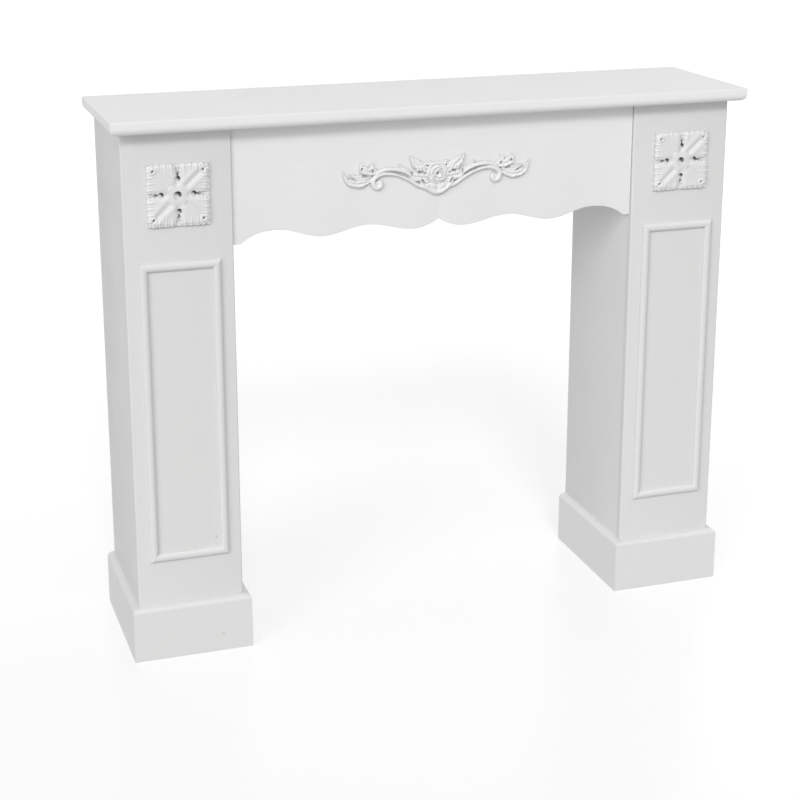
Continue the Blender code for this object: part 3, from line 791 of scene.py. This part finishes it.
def make_rosettes(paint, drilled_shadow_paint):
    """Both rosettes: one is carved, and the other is its copy. The drilled hollows get a near-black painted
    shadow.
    """
    half = (ROSETTE_HIGH.x - ROSETTE_LOW.x) / 2
    relief = ROSETTE_HIGH.y - ROSETTE_LOW.y
    middle_z = (ROSETTE_LOW.z + ROSETTE_HIGH.z) / 2
    carving = rosette_blank("left_rosette_carving")
    for vert in carving.data.vertices:
        u, v, level = vert.co
        height = 0.0 if level < -0.5 else rosette_height(u, v) * relief
        tooth = (1 - math.cos(2 * math.pi * min(abs(u), abs(v)) * ROSETTE_TEETH)) / 2
        shrink = 1 - ROSETTE_TOOTH_DEPTH * tooth * ramp(max(abs(u), abs(v)), 0.90, 1.0)
        vert.co = (u * shrink * half, v * shrink * half, height)
    close_up(carving)
    # Faces in the drilled hollows, which get the near-black painted shadow
    drilled = [face.index for face in carving.data.polygons
               if face.center.z < 0.5 * relief and face.normal.z > -0.5
               and max(abs(face.center.x), abs(face.center.y)) < 0.90 * half]
    only(carving)
    bpy.ops.object.duplicate()
    copy = named("right_rosette_carving")
    for side, rosette in ((-1, carving), (1, copy)):
        place = Matrix.Translation((side * PILASTER_MIDDLE_X, FRONT_Y, middle_z))
        rosette.data.transform(place @ FACE_FORWARD)
        smooth(rosette, 60.0)
        node = "left_rosette" if side < 0 else "right_rosette"
        hang(rosette, [node], paint)
        rosette.data.materials.append(drilled_shadow_paint)
        for index in drilled:
            rosette.data.polygons[index].material_index = 1


def smooth_path(points, count):
    """Points evenly spread in parameter along a Catmull-Rom curve through the given ones."""
    points = [Vector(point) for point in points]
    ends = [2 * points[0] - points[1], *points, 2 * points[-1] - points[-2]]
    path = []
    for step in range(count):
        place = step / (count - 1) * (len(points) - 1)
        index = min(int(place), len(points) - 2)
        t = place - index
        p0, p1, p2, p3 = ends[index:index + 4]
        path.append(((2 * p1) + (p2 - p0) * t + (2 * p0 - 5 * p1 + 4 * p2 - p3) * t ** 2
                     + (3 * p1 - p0 - 3 * p2 + p3) * t ** 3) / 2)
    return path


def loft(shape, path, half_widths, heights, profile):
    """A closed form on a flat path, sunk past the back; profile(t, share) is its height across, along."""
    rings = []
    for index, point in enumerate(path):
        ahead = path[min(index + 1, len(path) - 1)] - path[max(index - 1, 0)]
        across = Vector((-ahead.y, ahead.x)).normalized()
        share = index / (len(path) - 1)
        ring = []
        for step in range(LOFT_ACROSS + 1):
            t = 2 * step / LOFT_ACROSS - 1
            spot = point + across * half_widths[index] * t
            ring.append(shape.verts.new((spot.x, spot.y, heights[index] * profile(t, share))))
        for t in (0.9, -0.9):
            spot = point + across * half_widths[index] * t
            ring.append(shape.verts.new((spot.x, spot.y, -ONLAY_SINK)))
        rings.append(ring)
    faces = []
    size = len(rings[0])
    for ring, following in zip(rings, rings[1:]):
        for index in range(size):
            after = (index + 1) % size
            faces.append(shape.faces.new((ring[index], ring[after], following[after], following[index])))
    faces.append(shape.faces.new(rings[0]))
    faces.append(shape.faces.new(rings[-1]))
    bmesh.ops.recalc_face_normals(shape, faces=faces)


def roll_profile(t, share):
    """A round roll."""
    return 0.25 + 0.75 * math.sqrt(max(1 - t * t, 0.0))


def petal_profile(t, share):
    """Hollow inside, highest at the outer lip, then steep."""
    return 0.62 + 0.38 * ramp(t, -0.6, 0.55) - 0.60 * ramp(t, 0.72, 1.0)


def carve_leaf(shape, leaf, side):
    """One leaf, with lobed edges, a crease along its spine and slanting veins."""
    spine, half_width, widest, height, lobes, veins = leaf
    count = 16 * lobes + 9
    path = smooth_path([(side * x, z) for x, z in spine], count)
    power = math.log(0.5) / math.log(widest)
    widths, heights = [], []
    for step in range(count):
        share = step / (count - 1)
        swell = math.sin(math.pi * min(max(share, 0.03), 0.985) ** power)
        lobe = 1 - 0.22 * (1 - abs(math.cos(math.pi * lobes * share)))
        widths.append(half_width * swell ** 0.8 * lobe)
        heights.append(height * (0.45 + 0.55 * swell))

    def profile(t, share):
        out = abs(t)
        vein = math.cos(2 * math.pi * (veins * share + 1.2 * out))
        body = 1.0 - 0.36 * hump(t, 0.0, 0.20) - 0.66 * ramp(out, 0.62, 1.0)
        return body + 0.07 * vein * ramp(out, 0.10, 0.30)

    loft(shape, path, widths, heights, profile)


def carve_roll(shape, spine, widths, height, side):
    """A rolled stem that thins at both ends."""
    count = 6 * len(spine)
    path = smooth_path([(side * x, z) for x, z in spine], count)
    half_widths = [width.x for width in smooth_path([(width, 0.0) for width in widths], count)]
    heights = []
    for step in range(count):
        share = step / (count - 1)
        heights.append(height * (0.55 + 0.45 * ramp(share, 0.0, 0.08) * ramp(1 - share, 0.0, 0.10)))
    loft(shape, path, half_widths, heights, roll_profile)


def carve_petals(shape):
    """The rose: rings of cupped petals that overlap."""
    stations = 18
    for number, radius, half_width, height, sweep, turn in PETAL_RINGS:
        for petal in range(number):
            path, widths, heights = [], [], []
            for step in range(stations):
                share = step / (stations - 1)
                angle = 2 * math.pi * (turn + petal / number - sweep * share)
                reach = radius * (1.12 - 0.22 * share)
                swell = math.sin(math.pi * (0.10 + 0.80 * share))
                path.append(Vector((math.cos(angle), math.sin(angle))) * reach)
                widths.append(half_width * swell ** 0.7)
                heights.append(height * (0.70 + 0.30 * swell))
            loft(shape, path, widths, heights, petal_profile)


def carve_dome(shape, dome, side):
    """A low dome, round in plan."""
    (x, z), radius, height = dome
    matrix = Matrix.Translation((side * x, z, 0.0)) @ Matrix.Diagonal((radius, radius, height, 1.0))
    bmesh.ops.create_uvsphere(shape, u_segments=48, v_segments=24, radius=1.0, matrix=matrix)


def gouge(place, start, end, radius, depth):
    """How deep a gouge between two points cuts at a place."""
    start, end = Vector(start), Vector(end)
    along = end - start
    share = min(max((place - start).dot(along) / along.length_squared, 0.0), 1.0)
    reach = (place - start - along * share).length
    return depth * (1 - ramp(reach, radius * 0.7, radius * 1.5))


def cut_depth(place):
    """How deep the gouges, the rose's eye and groove and the scales cut at a place."""
    mirrored = Vector((abs(place.x), place.y))
    cut = sum(gouge(mirrored, *each) for each in GOUGES)
    radius, depth = ROSE_EYE
    cut += depth * (1 - ramp(place.length, radius * 0.6, radius * 1.4))
    radius, width, depth = ROSE_GROOVE
    cut += depth * hump(place.length, radius, width) * ramp(-place.y, 2.0, 9.0)
    spacing, depth = SCALES
    turn = math.pi / spacing
    scale = abs(math.sin(turn * (place.x + place.y)) * math.sin(turn * (place.x - place.y)))
    beside = ramp(mirrored.x, 24.0, 30.0) * (1 - ramp(mirrored.x, 56.0, 62.0))
    return cut + depth * (1 - scale) * beside


def select_open_edges():
    """In edit mode, select the edges that have a face on one side only."""
    bpy.ops.mesh.select_all(action="DESELECT")
    bpy.ops.mesh.select_non_manifold(use_wire=False, use_multi_face=False, use_non_contiguous=False,
                                     use_verts=False)


def cut_flat_behind(carving):
    """Cut a carving off at z = 0, leave out crumbs that the cut parts from it, and close its back."""
    bpy.ops.object.mode_set(mode="EDIT")
    bpy.ops.mesh.select_all(action="SELECT")
    bpy.ops.mesh.bisect(plane_co=(0.0, 0.0, 0.0), plane_no=(0.0, 0.0, -1.0), clear_outer=True)
    bpy.ops.mesh.select_all(action="DESELECT")
    bpy.ops.object.mode_set(mode="OBJECT")
    top = max(carving.data.vertices, key=lambda vert: vert.co.z)
    top.select = True
    bpy.ops.object.mode_set(mode="EDIT")
    bpy.ops.mesh.select_mode(type="VERT")
    bpy.ops.mesh.select_linked()
    bpy.ops.mesh.select_all(action="INVERT")
    bpy.ops.mesh.delete(type="VERT")
    bpy.ops.mesh.select_mode(type="EDGE")
    select_open_edges()
    bpy.ops.mesh.remove_doubles(threshold=0.12 * ONLAY_VOXEL)
    select_open_edges()
    bpy.ops.mesh.fill(use_beauty=False)
    bpy.ops.object.mode_set(mode="OBJECT")


def make_onlay(paint):
    """The rose with its leaf scrolls: carved as many forms, grown together, gouged and cut flat behind."""
    shape = bmesh.new()
    for side in (-1, 1):
        for leaf in LEAVES:
            carve_leaf(shape, leaf, side)
        for spine, widths, height in SIDE_ROLLS:
            carve_roll(shape, spine, widths, height, side)
        carve_dome(shape, SCROLL_EYE, side)
    carve_leaf(shape, CUP, 1)
    carve_roll(shape, CUP_ROLL, CUP_ROLL_WIDTHS, CUP_ROLL_HEIGHT, 1)
    carve_petals(shape)
    carve_dome(shape, HEART, 1)
    mesh = bpy.data.meshes.new("rose_onlay")
    shape.to_mesh(mesh)
    shape.free()
    mesh.transform(Matrix.Diagonal((ONLAY_MM, ONLAY_MM, RELIEF_MM, 1.0)))
    onlay = bpy.data.objects.new("rose_onlay", mesh)
    bpy.context.scene.collection.objects.link(onlay)
    only(onlay)
    grow = onlay.modifiers.new("grow_together", "REMESH")
    grow.mode = "VOXEL"
    grow.voxel_size = ONLAY_VOXEL
    bpy.ops.object.modifier_apply(modifier=grow.name)
    soften = onlay.modifiers.new("soften", "SMOOTH")
    soften.factor = 0.5
    soften.iterations = 2
    bpy.ops.object.modifier_apply(modifier=soften.name)
    for vert in onlay.data.vertices:
        if vert.co.z > 0:
            cut = cut_depth(vert.co.xy / ONLAY_MM) * RELIEF_MM
            vert.co.z = max(vert.co.z - cut, min(vert.co.z, 1.2 * RELIEF_MM))
    cut_flat_behind(onlay)
    onlay.data.transform(Matrix.Translation((ROSE_X, FRIEZE_LOW.y, ROSE_Z)) @ FACE_FORWARD)
    close_up(onlay)
    smooth(onlay, 60.0)
    hang(onlay, ["frieze_onlay"], paint)


def main():
    """The view, the light, the floor, and every piece of the mantelpiece."""
    set_camera()
    set_room_and_lamps()
    lay_floor()
    # The satin whites differ in brightness only as painted light and shade
    level_paint = satin_white("satin_white_level", "X", LEVEL_PAINTED_LIGHT)
    upright_paint = satin_white("satin_white_upright", "Z", UPRIGHT_PAINTED_SHADE, (PANEL_MARK,))
    plinth_paint = satin_white("satin_white_plinths", "X", PLINTH_PAINTED_SHADE, (PLINTH_MARK,))
    reveal_painted_light = satin_white("satin_white_reveals_painted_light", "Z", REVEAL_PAINTED_LIGHT)
    back_paint = primer("matt_primer")
    make_shelf(level_paint, back_paint)
    make_frieze(level_paint, back_paint)
    for side_name, side in (("left", -1), ("right", 1)):
        make_pilaster(side_name, side, upright_paint, reveal_painted_light, back_paint)
        make_plinth(side_name, side, plinth_paint, reveal_painted_light, back_paint)
        make_panel(side_name, side, plinth_paint, upright_paint)
    # The rosettes' drilled hollows get a near-black painted shadow
    rosette_range = (FRONT_Y, ROSETTE_LOW.y, ROSETTE_BRIGHTNESS)
    make_rosettes(carved_white("carved_white_rosettes", *rosette_range, ROSETTE_SHADE),
                  carved_white("painted_drilled_shadow", *rosette_range, DRILLED_SHADE))
    make_onlay(carved_white("carved_white_onlay", ONLAY_HIGH.y, ONLAY_LOW.y, ONLAY_BRIGHTNESS, ONLAY_SHADE))


main()
